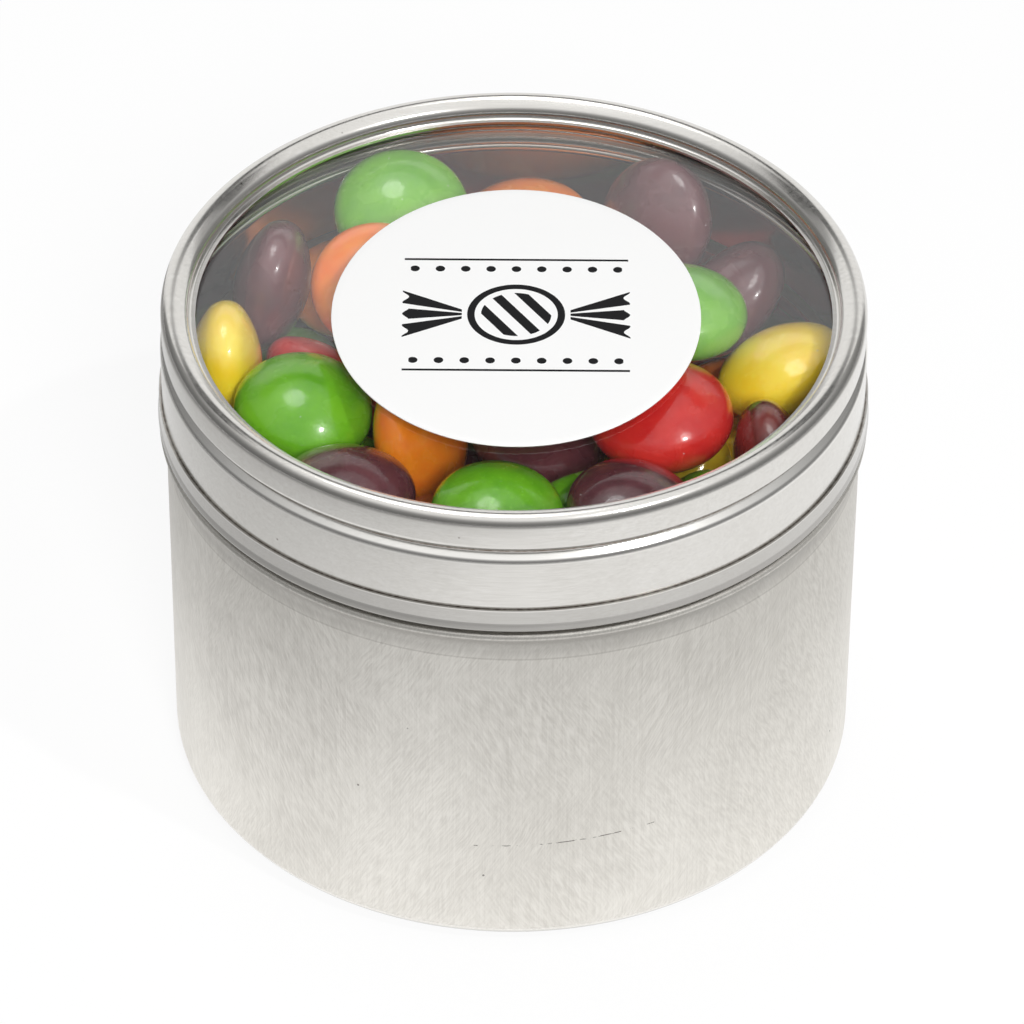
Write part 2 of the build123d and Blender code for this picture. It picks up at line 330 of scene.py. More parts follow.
def slantedHairs(f, height):
    # short hairlines in two sets, each wound round the tin its own way and swung to and fro by a
    # slow noise; some patches show the one set and the rest the other
    m = bodyMetal
    fine, along = 1 / tinplate["grainWidth"], 1 / m["slantedLength"]
    swing = f.spread(f.noise(f.place, **m["swing"]), *m["swingAngle"])
    sets = []
    for way, fineness in m["slants"]:
        angle = f.plus(f.times(height, m["twist"] * way), swing)
        wound = f.add("ShaderNodeVectorRotate", {"Vector": f.place, "Angle": angle},
                      rotation_type="Z_AXIS").outputs[0]
        stretched = f.scaled((fine * fineness, fine * fineness, along), wound)
        sets.append(f.noise(stretched, **m["slanted"]))
    return f.choose(f.spread(f.noise(f.place, **m["patch"]), *m["patchBorder"]), *sets)


def frontScratch(f, x, y, height):
    # a thin line, nearly level, low on the front and broken by a fine noise
    s = bodyMetal["scratch"]
    level = f.plus(s["height"], f.times(x, s["slope"]))
    near = f.below(f.math("ABSOLUTE", f.minus(height, level)), s["half"])
    across = f.between(x, s["start"], s["end"])
    broken = f.above(f.noise(f.scaled(s["gapStretch"]), **s["gaps"]), s["least"])
    return f.times(f.times(near, across), f.times(broken, f.below(y, 0.0)))


def bodyTinplate():
    # upright hairlines, from noise stretched along Z, and slanted ones over them; painted shade:
    # the wall a little darker the higher it goes, and darker under the bead and along the foot; a
    # faint line left by drawing, and one scratch
    f = Finish("BodyTinplate")
    t, m = tinplate, bodyMetal
    fine, along = 1 / t["grainWidth"], 1 / t["grainLength"]
    x, y, height = f.split(f.place)
    upright = f.noise(f.scaled((fine, fine, along)), **m["upright"])
    grain = f.plus(f.times(upright, m["uprightShare"]),
                   f.times(slantedHairs(f, height), m["slantedShare"]))
    cloud = f.noise(f.scaled(m["cloudStretch"]), **t["cloud"])
    share = f.plus(f.spread(grain, *m["grainTone"]), f.spread(cloud, *m["cloudTone"]))
    base = f.blend(share, m["light"], m["dark"])
    # painted shade: the wall's colour darker the higher it goes
    base = f.blend(f.spread(height, *m["shadeRise"]), base, m["shade"], "MULTIPLY")
    # painted shade under the bead and along the foot
    shadeUnderBead = f.times(f.spread(height, *m["beadRise"]), f.spread(height, *m["beadFall"]))
    paintedShade = f.greatest(shadeUnderBead, f.spread(height, *m["footFall"]))
    base = f.blend(paintedShade, base, m["stretched"])
    toLine = f.math("ABSOLUTE", f.minus(height, m["drawLine"]["height"]))
    line = f.spread(toLine, *m["drawLine"]["border"])
    marks = f.greatest(f.times(line, m["drawLine"]["share"]),
                       f.times(frontScratch(f, x, y, height), m["scratch"]["share"]))
    base = f.blend(marks, base, t["pit"])
    wide = f.noise(f.scaled(m["wideStretch"]), **m["wide"])
    rough = f.plus(f.spread(grain, *m["grainRoughness"]), f.spread(wide, *m["wideRoughness"]))
    bright = f.below(f.distance(x, y), m["brightRadius"])
    rough = f.choose(bright, m["brightRoughness"], rough)
    normal = f.bump(grain, m["grainStrength"], t["grainHeight"], f.bump(line, *m["lineBump"]))
    withPits(f, base, rough, normal)
    return f.material


lidMetal = dict(
    light=colour(0.76, 0.745, 0.715),
    dark=colour(0.67, 0.65, 0.615),
    fine=dict(detail=4.0, roughness=0.65),
    fineShare=0.6,
    coarse=dict(detail=3.0, roughness=0.6),
    coarseShare=0.4,
    coarseness=(0.6, 0.35),         # the coarse grain's scale along and across, against the fine's
    grainTone=(0.36, 0.64, 0.0, 0.6),
    cloudTone=(0.4, 0.7, 0.0, 0.35),
    # painted highlight: a paler colour on the shoulder, so that its reflection shows brighter
    worn=colour(0.97, 0.955, 0.92),
    wornShare=0.65,
    shoulder=dict(rise=(0.0470, 0.0473), fall=(0.04798, 0.04806)),
    # painted shade: the hem's outer leaf darker, most of all near its fold
    dull=colour(0.30, 0.29, 0.275),
    leafRadius=0.03333,             # the hem's outer leaf lies past it, up to the leaf's height
    leafHeight=0.04178,
    leafTone=(0.0402, 0.0404, 0.7, 0.4),
    foldTone=(0.0394, 0.0398, 0.15, 0.0),
    # a dark brown line in the groove and along the hem's raw edge
    grime=colour(0.16, 0.11, 0.075),
    fleck=dict(scale=2400.0, detail=3.0, roughness=0.6),
    groove=dict(radius=(0.03256, 0.03264), rise=(0.04802, 0.0481), fall=(0.0482, 0.04828),
                strength=(0.35, 0.6, 0.5, 0.85)),
    rawEdge=dict(radius=(0.03340, 0.03346), rise=(0.04180, 0.04184), fall=(0.04194, 0.04198),
                 strength=(0.4, 0.62, 0.3, 0.75)),
    roughness=(0.35, 0.65, 0.15, 0.24),
    grainStrength=0.2,
)


def darkRing(f, radius, height, fleck, ring):
    # inside a radius and between two heights, all with soft borders; uneven with the fleck
    inside = f.spread(radius, *ring["radius"], 1.0, 0.0)
    there = f.times(inside, f.band(height, ring["rise"], ring["fall"]))
    return f.times(there, f.spread(fleck, *ring["strength"]))


def lidTinplate():
    # straight hairlines along X, as the sheet was rolled before it was drawn; a painted highlight
    # on the shoulder, painted shade on the hem's outer leaf, and a dark brown line in the groove
    # and along the hem's raw edge
    f = Finish("LidTinplate")
    t, m = tinplate, lidMetal
    fine, along = 1 / t["grainWidth"], 1 / t["grainLength"]
    longer, wider = m["coarseness"]
    x, y, height = f.split(f.place)
    radius = f.distance(x, y)
    grain = f.noise(f.scaled((along, fine, fine)), **m["fine"])
    coarse = f.noise(f.scaled((along * longer, fine * wider, fine * wider)), **m["coarse"])
    both = f.plus(f.times(grain, m["fineShare"]), f.times(coarse, m["coarseShare"]))
    cloud = f.noise(f.place, **t["cloud"])
    share = f.plus(f.spread(both, *m["grainTone"]), f.spread(cloud, *m["cloudTone"]))
    base = f.blend(share, m["light"], m["dark"])
    # painted highlight on the shoulder
    onShoulder = f.band(height, **m["shoulder"])
    base = f.blend(f.times(onShoulder, m["wornShare"]), base, m["worn"])
    # painted shade on the hem's outer leaf
    onLeaf = f.times(f.above(radius, m["leafRadius"]), f.below(height, m["leafHeight"]))
    dull = f.plus(f.spread(height, *m["leafTone"]), f.spread(height, *m["foldTone"]))
    base = f.blend(f.times(onLeaf, dull), base, m["dull"])
    fleck = f.noise(f.place, **m["fleck"])
    # a dark brown line in the groove and along the hem's raw edge
    darkLines = f.plus(darkRing(f, radius, height, fleck, m["groove"]),
                   darkRing(f, radius, height, fleck, m["rawEdge"]))
    withPits(f, f.blend(darkLines, base, m["grime"]), f.spread(both, *m["roughness"]),
             f.bump(both, m["grainStrength"], t["grainHeight"]))
    return f.material


def withPits(f, base, rough, normal):
    base = f.blend(f.specks(**tinplate["pits"]), base, tinplate["pit"])
    f.set(Base_Color=base, Metallic=1.0, Roughness=rough, Normal=normal)


# Tin body: a drawn cup

body = dict(
    wallRadius=0.033, sheet=0.00025, segments=360,
    panelRadius=0.027, panelRise=0.0008, panelSlope=0.0016, panelBend=0.0009, cornerBend=0.0025,
    beadFoot=0.0373675, beadCrest=0.0387, beadSwell=0.0008, swellBend=0.003, beadBend=0.0003,
    beadShoulder=0.0002, neckRadius=0.0329, neckBend=0.0003,
    mouthHeight=0.0463275, mouthRoll=0.001, mouthTurn=255,
    longestRun=0.0025,
)


def tinBody():
    b = body
    half = b["sheet"] / 2
    wall, neck = b["wallRadius"] - half, b["neckRadius"] - half
    rollRadius = b["mouthRoll"] / 2
    mouthMiddle = b["mouthHeight"] - rollRadius
    line = roundedLine([
        (0, b["panelRise"] + half),
        (b["panelRadius"], b["panelRise"] + half),
        (b["panelRadius"] + b["panelSlope"], half),
        (wall, half),
        (wall, b["beadFoot"]),
        (wall + b["beadSwell"], b["beadCrest"]),
        (neck, b["beadCrest"] + b["beadShoulder"]),
        (neck, mouthMiddle),
    ], [b["panelBend"], b["panelBend"], b["cornerBend"], b["swellBend"], b["beadBend"],
        b["neckBend"]])
    roll = arcLine((b["neckRadius"] - rollRadius, mouthMiddle), rollRadius - half,
                   0, b["mouthTurn"])
    line = spaced(np.concatenate([line[:-1], roll]), b["longestRun"])
    piece = turned("TinBody", sheetSection(line, b["sheet"]), b["segments"])
    piece.data.materials.append(bodyTinplate())
    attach(piece, "tin")
    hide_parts("tin_body")


tinBody()
print("tin body made")


# Lid frame: drawn and rolled; flange, inner wall, rim, upper wall, groove, shoulder, skirt and hem

lid = dict(
    sheet=0.00025, segments=312, bendSteps=16, height=0.0522, slip=0.00015,
    hemBottom=0.0394, hemTop=0.0419, hemFold=0.0002, hemCrease=0.00098, creaseBend=0.0004,
    hemDraw=0.0001, hemClose=0.00002, creaseSteps=4,
    shoulderTop=0.0473775, shoulderBend=0.0005,
    grooveBottom=0.0479275, grooveTop=0.0482475, grooveDepth=0.00062, grooveBend=0.00015,
    tierRadius=0.03315, tierBend=0.00078,
    rimInnerRadius=0.03055, rimLean=33, rimBend=0.00095,
    flangeRadius=0.0299, flangeBend=0.00044,
    windowTop=0.0502, windowFit=0.00005,
    longestRun=0.0012,
)


def lidFrame():
    p = lid
    half = p["sheet"] / 2
    seat = p["windowTop"] + p["windowFit"] + half
    tier = p["tierRadius"] - half
    inner = p["rimInnerRadius"] + half
    lean = math.radians(p["rimLean"])
    rise = p["rimBend"] * math.tan(math.pi / 4 + lean / 2)
    peak = p["height"] - half - p["rimBend"] + rise
    grooveFloor = tier - p["grooveDepth"]
    skirt = body["neckRadius"] + p["slip"] + half
    hemMiddle = p["hemBottom"] + half + p["hemFold"]
    leaf = skirt + p["hemFold"] * 2
    line = roundedLine([
        (p["flangeRadius"], seat),
        (inner, seat),
        (inner, peak - (tier - inner) * math.tan(lean)),
        (tier, peak),
        (tier, p["grooveTop"] + p["grooveDepth"]),
        (grooveFloor, p["grooveTop"]),
        (grooveFloor, p["grooveBottom"]),
        (skirt, p["shoulderTop"]),
        (skirt, hemMiddle),
    ], [p["flangeBend"], p["rimBend"], p["rimBend"], p["tierBend"], p["grooveBend"],
        p["grooveBend"], p["shoulderBend"]], p["bendSteps"])
    fold = arcLine((skirt + p["hemFold"], hemMiddle), p["hemFold"], 180, 180)
    hem = roundedLine([
        (leaf, hemMiddle),
        (leaf - p["hemDraw"], p["hemBottom"] + p["hemCrease"]),
        (leaf - p["hemDraw"] - p["hemClose"], p["hemTop"]),
    ], [p["creaseBend"]], p["creaseSteps"])
    line = spaced(np.concatenate([line[:-1], fold, hem[1:]]), p["longestRun"])
    piece = turned("LidFrame", sheetSection(line, p["sheet"]), p["segments"])
    piece.data.materials.append(lidTinplate())
    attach(piece, "lid")
    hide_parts("lid_frame")


lidFrame()
print("lid frame made")


# Window: clear sheet that lets light straight through and mirrors a little of what is above it

pane = dict(
    sheet=0.0004, depth=0.00138, bend=0.00025, sideGap=0.0003, segments=256, longestRun=0.004,
    headOn=0.062,                   # share mirrored when seen square on, by each face
    slantPower=5.0,
    tint=colour(0.985, 0.99, 0.985),
    mirror=colour(1, 1, 1),
    scuff=dict(scale=140.0, detail=5.0, roughness=0.7),
    scuffRoughness=(0.4, 0.7, 0.03, 0.07),
    wave=dict(scale=55.0, detail=2.0, roughness=0.5),
    waveBump=(0.1, 0.0001),
    dust=dict(scale=1 / 0.0011, channel=1, least=0.97, core=0.05, edge=0.09, strength=0.55),
    dustTone=colour(0.9, 0.9, 0.9),
)


def clearWindow():
    # clear and mirror shaders mixed by how slantwise the face is seen:
    # headOn + (1 - headOn) (1 - cos)^5; a few specks of dust over both
    f = Finish("ClearWindow")
    p = pane
    facing = f.add("ShaderNodeLayerWeight", {"Blend": 0.5}).outputs["Facing"]
    slant = f.math("POWER", facing, p["slantPower"])
    share = f.plus(p["headOn"], f.times(slant, 1 - p["headOn"]))
    scuff = f.noise(f.place, **p["scuff"])
    wave = f.noise(f.place, **p["wave"])
    clear = f.add("ShaderNodeBsdfTransparent", {"Color": p["tint"]}).outputs[0]
    mirror = f.add("ShaderNodeBsdfGlossy", {
        "Color": p["mirror"], "Roughness": f.spread(scuff, *p["scuffRoughness"]),
        "Normal": f.bump(wave, *p["waveBump"])}).outputs[0]
    dust = f.add("ShaderNodeBsdfDiffuse", {"Color": p["dustTone"]}).outputs[0]
    f.show(f.mixed(f.specks(**p["dust"]), f.mixed(share, clear, mirror), dust))
    return f.material


def windowPane():
    p = pane
    half = p["sheet"] / 2
    edge = lid["tierRadius"] - lid["sheet"] - p["sideGap"] - half
    line = roundedLine([
        (0, lid["windowTop"] - half),
        (edge, lid["windowTop"] - half),
        (edge, lid["windowTop"] - p["depth"] + half),
    ], [p["bend"]])
    section = sheetSection(spaced(line, p["longestRun"]), p["sheet"])
    piece = turned("WindowPane", section, p["segments"])
    piece.data.materials.append(clearWindow())
    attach(piece, "lid")
    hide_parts("window")


windowPane()
print("window made")


# Label: oval white film on the window, with a plain printed motif

sticker = dict(
    halfWidth=0.01735, halfLength=0.0196, sheet=0.00012, offset=(0.0002, -0.0005),
    edgeBend=0.00004, edgeSteps=4, segments=256, rings=24,
    paper=colour(0.84, 0.84, 0.835),
    shadedPaper=colour(0.78, 0.78, 0.77),
    fibre=dict(scale=1800.0, detail=3.0, roughness=0.6),
    fibreTone=(0.4, 0.7, 0.0, 0.04),
    fibreBump=(0.05, 0.00002),
    wave=dict(scale=70.0, detail=2.0, roughness=0.5),
    waveRoughness=(0.35, 0.65, 0.42, 0.5),
    waveBump=(0.15, 0.0002),
    specular=0.1,
    ink=colour(0.006, 0.006, 0.007),
)
# the print, in millimetres from the label's middle
printed = dict(
    perMetre=1000,
    ring=(3.9, 4.6),
    stripes=dict(radius=3.3, waveX=2.4, waveY=1.6, least=0.1),
    twists=dict(start=5.1, end=10.4, halfWidth=0.8, growth=0.6, scallop=3.6, scallopDepth=0.3,
                pivot=1.4, folds=18.0, least=-0.6),
    dots=dict(height=7.0, spacing=2.4, radius=0.45, halfLength=10.0),
    rules=dict(low=8.3, high=8.6, halfLength=10.6),
)


def printedSweet(f, x, y):
    # a ring round slanting stripes, where a cosine wave across them is high
    p = printed["stripes"]
    far = f.distance(x, y)
    wave = f.math("COSINE", f.plus(f.times(x, p["waveX"]), f.times(y, p["waveY"])))
    stripes = f.times(f.above(wave, p["least"]), f.below(far, p["radius"]))
    return f.greatest(f.between(far, *printed["ring"]), stripes)


def printedTwists(f, y, out, up):
    # on each side a fan that widens outwards, its end scalloped, cut by folds that spread from a
    # pivot within its start
    p = printed["twists"]
    halfWidth = f.plus(p["halfWidth"], f.times(f.minus(out, p["start"]), p["growth"]))
    scallop = f.times(f.math("COSINE", f.times(y, p["scallop"])), p["scallopDepth"])
    fan = f.times(f.between(out, p["start"], f.plus(p["end"], scallop)), f.below(up, halfWidth))
    angle = f.math("ARCTAN2", y, f.minus(out, p["start"] - p["pivot"]))
    fold = f.math("COSINE", f.times(angle, p["folds"]))
    return f.times(fan, f.above(fold, p["least"]))


def printedDots(f, x, out, up):
    # a row of evenly spaced dots above and below
    p = printed["dots"]
    half = p["spacing"] / 2
    aside = f.minus(half, f.math("PINGPONG", f.plus(x, half), half))
    toDot = f.distance(aside, f.minus(up, p["height"]))
    return f.times(f.below(toDot, p["radius"]), f.below(out, p["halfLength"]))


def motif(f):
    # a striped round sweet in a wrapper with two twisted ends, between rows of dots and rules
    offset = (-sticker["offset"][0], -sticker["offset"][1], 0.0)
    moved = f.add("ShaderNodeVectorMath", {0: f.place, 1: offset}, operation="ADD").outputs[0]
    x, y, _ = f.split(f.scaled((printed["perMetre"],) * 3, moved))
    out, up = f.math("ABSOLUTE", x), f.math("ABSOLUTE", y)
    p = printed["rules"]
    rules = f.times(f.between(up, p["low"], p["high"]), f.below(out, p["halfLength"]))
    wrapped = f.greatest(printedSweet(f, x, y), printedTwists(f, y, out, up))
    return f.greatest(wrapped, f.greatest(printedDots(f, x, out, up), rules))


def labelFilm():
    f = Finish("LabelFilm")
    p = sticker
    fibre = f.noise(f.place, **p["fibre"])
    wave = f.noise(f.place, **p["wave"])
    paper = f.blend(f.spread(fibre, *p["fibreTone"]), p["paper"], p["shadedPaper"])
    f.set(Base_Color=f.blend(motif(f), paper, p["ink"]),
          Roughness=f.spread(wave, *p["waveRoughness"]), Specular_IOR_Level=p["specular"],
          Normal=f.bump(fibre, *p["fibreBump"], f.bump(wave, *p["waveBump"])))
    return f.material


def ovalLabel():
    # a flat oval slab: rings of one ellipse, x = cx + a s cos t, y = cy + b s sin t, with a rounded
    # upper edge
    p = sticker
    turn = fullTurn(p["segments"])
    shares = np.linspace(0, 1, p["rings"] + 1)[:-1]
    bend = p["edgeBend"]
    rim = np.radians(np.linspace(0, 90, p["edgeSteps"] + 1))
    inset = np.concatenate([p["halfWidth"] * (1 - shares), bend * (1 - np.sin(rim)),
                            [0, p["halfWidth"]]])
    drop = np.concatenate([np.zeros(p["rings"]), -bend * (1 - np.cos(rim)), [-p["sheet"]] * 2])
    height = lid["windowTop"] + p["sheet"] + drop
    halfX = np.clip(p["halfWidth"] - inset, 0, None)
    halfY = halfX * (p["halfLength"] / p["halfWidth"])
    x = p["offset"][0] + np.outer(np.cos(turn), halfX)
    y = p["offset"][1] + np.outer(np.sin(turn), halfY)
    grid = np.stack([x, y, np.broadcast_to(height, x.shape)], -1)
    piece = closedPiece("OvalLabel", grid, gridFaces(*x.shape, wrapRows=True))
    piece.data.materials.append(labelFilm())
    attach(piece, "lid")
    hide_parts("label")


ovalLabel()
print("label made")


# Sweets: each solid's own middle, short axis and size are read back from its mesh. A shell has a
# darker and a lighter tone.

shell = dict(
    green=(colour(0.12, 0.40, 0.008), colour(0.18, 0.50, 0.014)),
    orange=(colour(0.99, 0.20, 0.008), colour(1.0, 0.30, 0.014)),
    purple=(colour(0.085, 0.020, 0.028), colour(0.14, 0.038, 0.048)),
    yellow=(colour(0.99, 0.64, 0.015), colour(1.0, 0.75, 0.04)),
    red=(colour(0.60, 0.012, 0.012), colour(0.72, 0.03, 0.022)),
    maroon=(colour(0.13, 0.018, 0.016), colour(0.20, 0.03, 0.026)),
)
glaze = dict(
    cloud=dict(scale=220.0, detail=3.0, roughness=0.6),
    cloudBorder=(0.35, 0.65),
    cloudRoughness=(0.35, 0.65, 0.22, 0.30),
    fleck=dict(scale=2600.0, detail=2.0, roughness=0.5),
    fleckTone=(0.60, 0.72, 0.0, 0.25),
    paler=(1.5, 0.03),              # a fleck is the lighter tone times the first, plus the second
    specks=dict(scale=700.0, channel=0, least=0.97, core=0.04, edge=0.09, strength=0.8),
    speckTone=colour(0.9, 0.88, 0.84),
    dimples=2600.0,
    dimpleBump=(0.28, 0.00004),
    ripple=dict(scale=480.0, detail=2.0, roughness=0.5),
    rippleBump=(0.2, 0.00008),
    coat=dict(Coat_Weight=0.8, Coat_Roughness=0.1, Coat_IOR=1.5),
)
sweetShape = dict(
    topRings=64, topSegments=128, lowerRings=20, lowerSegments=40,
    edgeShare=2.4 / 6.6,            # radius of the rounded edge, as a share of half the girth
    dent=0.00009,                   # deepest hollow in a sweet of the top layer
    dentWaves=5,
    waveSpeed=(1.2, 2.6),           # slowest and fastest along a wave's own heading
    sideways=(0.36, 0.48, 0.8),     # no sweet's short axis lies along it
    cleanDistance=1e-6,
)


def shellFinish(name, tones):
    # glossy sugar shell: slow clouding of the colour, paler flecks, white specks, slow ripples and
    # dimples about 0.4 mm across
    f = Finish(name)
    g = glaze
    cloud = f.noise(f.place, **g["cloud"])
    base = f.blend(f.spread(cloud, *g["cloudBorder"]), *tones)
    gain, lift = g["paler"]
    pale = colour(*[min(1, part * gain + lift) for part in tones[1][:3]])
    fleck = f.noise(f.place, **g["fleck"])
    base = f.blend(f.spread(fleck, *g["fleckTone"]), base, pale)
    base = f.blend(f.specks(**g["specks"]), base, g["speckTone"])
    dimple = f.cells(g["dimples"], feature="SMOOTH_F1")["Distance"]
    ripple = f.noise(f.place, **g["ripple"])
    f.set(Base_Color=base, Roughness=f.spread(cloud, *g["cloudRoughness"]),
          Normal=f.bump(ripple, *g["rippleBump"], f.bump(dimple, *g["dimpleBump"])), **g["coat"])
    return f.material


def islands(faces, count):
    # the lowest point number that each point is joined to, through shared faces
    label = np.arange(count)
    while True:
        lowest = label.copy()
        np.minimum.at(lowest, faces, label[faces].min(1)[:, None])
        lowest = lowest[lowest]
        if (lowest == label).all():
            return label
        label = lowest


def fittedSweet(points):
    # middle, short axis, half girth and half thickness of one solid: the axis is that of the
    # quadric that fits its points best, and the two halves are the points' furthest reach across
    # and along it
    middle = (points.min(0) + points.max(0)) / 2
    x, y, z = (points - middle).T
    six = np.column_stack([x * x, y * y, z * z, x * y, y * z, z * x])
    a = np.linalg.lstsq(six, np.ones(len(points)), rcond=None)[0]
    form = np.array([[a[0], a[3] / 2, a[5] / 2],
                     [a[3] / 2, a[1], a[4] / 2],
                     [a[5] / 2, a[4] / 2, a[2]]])
    axis = np.linalg.eigh(form)[1][:, 2]
    along = (points - middle) @ axis
    across = np.linalg.norm(points - middle - along[:, None] * axis, axis=1)
    return middle, axis, across.max(), abs(along).max()


def solidSweets(node):
    # each separate solid in a node, fitted
    mesh = frame["nodes"][node].data
    places = np.empty(len(mesh.vertices) * 3)
    mesh.vertices.foreach_get("co", places)
    corners = np.empty(len(mesh.loops), np.int64)
    mesh.loops.foreach_get("vertex_index", corners)
    steps = np.round(places.reshape(-1, 3) / sweetShape["cleanDistance"]).astype(np.int64)
    clean, back = np.unique(steps, axis=0, return_inverse=True)
    label = islands(back.ravel()[corners].reshape(-1, 3), len(clean))
    points = clean * sweetShape["cleanDistance"]
    return [fittedSweet(points[label == number]) for number in np.unique(label)]


def dents(ball, random, depth):
    # how far in each point of a unit ball is drawn: up to the depth, where slow waves add up
    waves = np.zeros(ball.shape[:2])
    count = sweetShape["dentWaves"]
    for _ in range(count):
        heading = random.normal(size=3)
        speed = random.uniform(*sweetShape["waveSpeed"])
        waves += np.sin(ball @ heading * speed + random.uniform(0, 2 * math.pi))
    return depth * (waves + count) / (2 * count)


def sweetGrid(middle, axis, halfGirth, halfDepth, rings, segments, random, dent):
    # a flattened ball about its short axis. Where its normal rises by u, a point lies on the edge's
    # arc, (m + e cos u, e sin u) with m = halfGirth - e, or past the angle where the arcs meet on
    # the crown's, (c cos u, halfDepth - c + c sin u); the dents then draw it in
    side = np.cross(axis, sweetShape["sideways"])
    side /= np.linalg.norm(side)
    other = np.cross(axis, side)
    edge = halfGirth * sweetShape["edgeShare"]
    inner = halfGirth - edge
    crown = (inner**2 + halfDepth**2 - edge**2) / (halfDepth - edge) / 2
    meeting = math.atan2(crown - halfDepth, inner)
    up = np.linspace(-math.pi / 2, math.pi / 2, rings + 1)
    onEdge = abs(up) < meeting
    radius = np.where(onEdge, inner + edge * np.cos(up), crown * np.cos(up))
    height = np.where(onEdge, edge * np.sin(up),
                      np.sign(up) * (halfDepth - crown) + crown * np.sin(up))
    latitude, longitude = np.meshgrid(up, fullTurn(segments), indexing="ij")
    ball = np.stack([np.cos(latitude) * np.cos(longitude), np.cos(latitude) * np.sin(longitude),
                     np.sin(latitude)], -1)
    outline = np.stack([radius[:, None] * np.cos(longitude), radius[:, None] * np.sin(longitude),
                        np.broadcast_to(height[:, None], longitude.shape)], -1)
    local = outline - ball * dents(ball, random, dent)[..., None]
    places = middle + local[..., :1] * side + local[..., 1:2] * other + local[..., 2:] * axis
    # each face goes round the other way, from the same first corner
    faces = gridFaces(rings + 1, segments, wrapColumns=True)[..., [0, 3, 2, 1]]
    return places.reshape(-1, 3), faces.reshape(-1, 4)


def sweets():
    slots = {entry["node"]: entry["material_slot"] for entry in frame["record"]["subparts"]}
    finishes = {tone: shellFinish(tone.capitalize() + "Shell", tones)
                for tone, tones in shell.items()}
    nodes = sorted(name for name in frame["nodes"] if name.startswith("sweet"))
    for number, node in enumerate(nodes):
        random = np.random.default_rng(number + 1)
        lower = node.startswith("sweets_below")
        rings = sweetShape["lowerRings" if lower else "topRings"]
        segments = sweetShape["lowerSegments" if lower else "topSegments"]
        dent = 0.0 if lower else sweetShape["dent"]
        places, faces, first = [], [], 0
        for solid in solidSweets(node):
            own, ownFaces = sweetGrid(*solid, rings, segments, random, dent)
            places.append(own)
            faces.append(ownFaces + first)
            first += len(own)
        name = "".join(word.capitalize() for word in node.split("_"))
        piece = closedPiece(name, np.concatenate(places), np.concatenate(faces))
        piece.data.materials.append(finishes[slots[node].replace("_shell", "")])
        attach(piece, "tin")
        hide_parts(node)


sweets()
print("sweets made")


# Floor, lights and camera

studio = dict(
    white=colour(1, 1, 1),
    worldLevel=0.31,                # how much of the white background lights matt surfaces
    floor=dict(radius=3.0, segments=96, tone=colour(0.9, 0.9, 0.9), glow=1.0, glowShare=0.88),
    # a broad lamp overhead, a small one for the sparks on the sweets, and one in front that lights
    # but isn't mirrored; each stands its distance from the point that all aim at
    lampAim=(0, 0, 0.03),
    softbox=dict(direction=(-0.1, 0.2, 0.97), distance=0.9, size=(0.34, 0.38), watts=1.5),
    spot=dict(direction=(0.42, -0.38, 0.82), distance=1.0, size=(0.036, 0.036), watts=2.2),
    fill=dict(direction=(0.12, -0.78, 0.63), distance=1.4, size=(0.4, 0.4), watts=14.5,
              mirrored=False),
    eyeLevel=0.0502,                # the cards' angles are taken from the middle of the window
    tent=dict(radius=0.6, openDegrees=42, rows=31, columns=97,
              elevations=(-4, 10, 20, 30, 40, 50, 56),
              tones=(0.2, 0.2, 0.24, 0.32, 0.5, 0.8, 1.0)),
    table=dict(height=0.0006, middle=(0.03, -0.008), rows=50,
               radii=(0.09, 0.12, 0.19, 0.55), tones=(0.95, 0.65, 0.4, 0.2)),
    sideLean=0.12,                  # how much lighter the cards are on the right, as a share
    backCard=dict(distance=0.55, lowDegrees=38.4, highDegrees=52, halfWidthDegrees=60,
                  rows=5, columns=33, tone=0.05),
)


def seenShare(tree):
    # 1 for rays that show the background: from the camera, in a mirror or through something clear
    path = tree.nodes.new("ShaderNodeLightPath")
    share = path.outputs["Is Camera Ray"]
    for kind in ("Is Glossy Ray", "Is Transmission Ray"):
        larger = tree.nodes.new("ShaderNodeMath")
        larger.operation = "MAXIMUM"
        tree.links.new(share, larger.inputs[0])
        tree.links.new(path.outputs[kind], larger.inputs[1])
        share = larger.outputs[0]
    return share


def paleWorld():
    world = bpy.data.worlds.new("StudioAir")
    bpy.context.scene.world = world
    world.use_nodes = True
    tree = world.node_tree
    background = tree.nodes["Background"]
    background.inputs["Color"].default_value = studio["white"]
    level = tree.nodes.new("ShaderNodeMapRange")
    level.inputs["To Min"].default_value = studio["worldLevel"]
    level.inputs["To Max"].default_value = 1.0
    tree.links.new(seenShare(tree), level.inputs["Value"])
    tree.links.new(level.outputs[0], background.inputs["Strength"])


def paleFloor():
    p = studio["floor"]
    angle = fullTurn(p["segments"])
    rim = np.column_stack([np.cos(angle), np.sin(angle), np.zeros(p["segments"])]) * p["radius"]
    mesh = bpy.data.meshes.new("Floor")
    mesh.from_pydata(rim.tolist(), [], [list(range(p["segments"]))])
    floor = newObject("Floor", mesh)
    f = Finish("PaleFloor")
    paint = f.add("ShaderNodeBsdfDiffuse", {"Color": p["tone"]}).outputs[0]
    glow = f.add("ShaderNodeEmission", {"Color": studio["white"], "Strength": p["glow"]}).outputs[0]
    f.show(f.mixed(f.times(seenShare(f.tree), p["glowShare"]), paint, glow))
    mesh.materials.append(f.material)


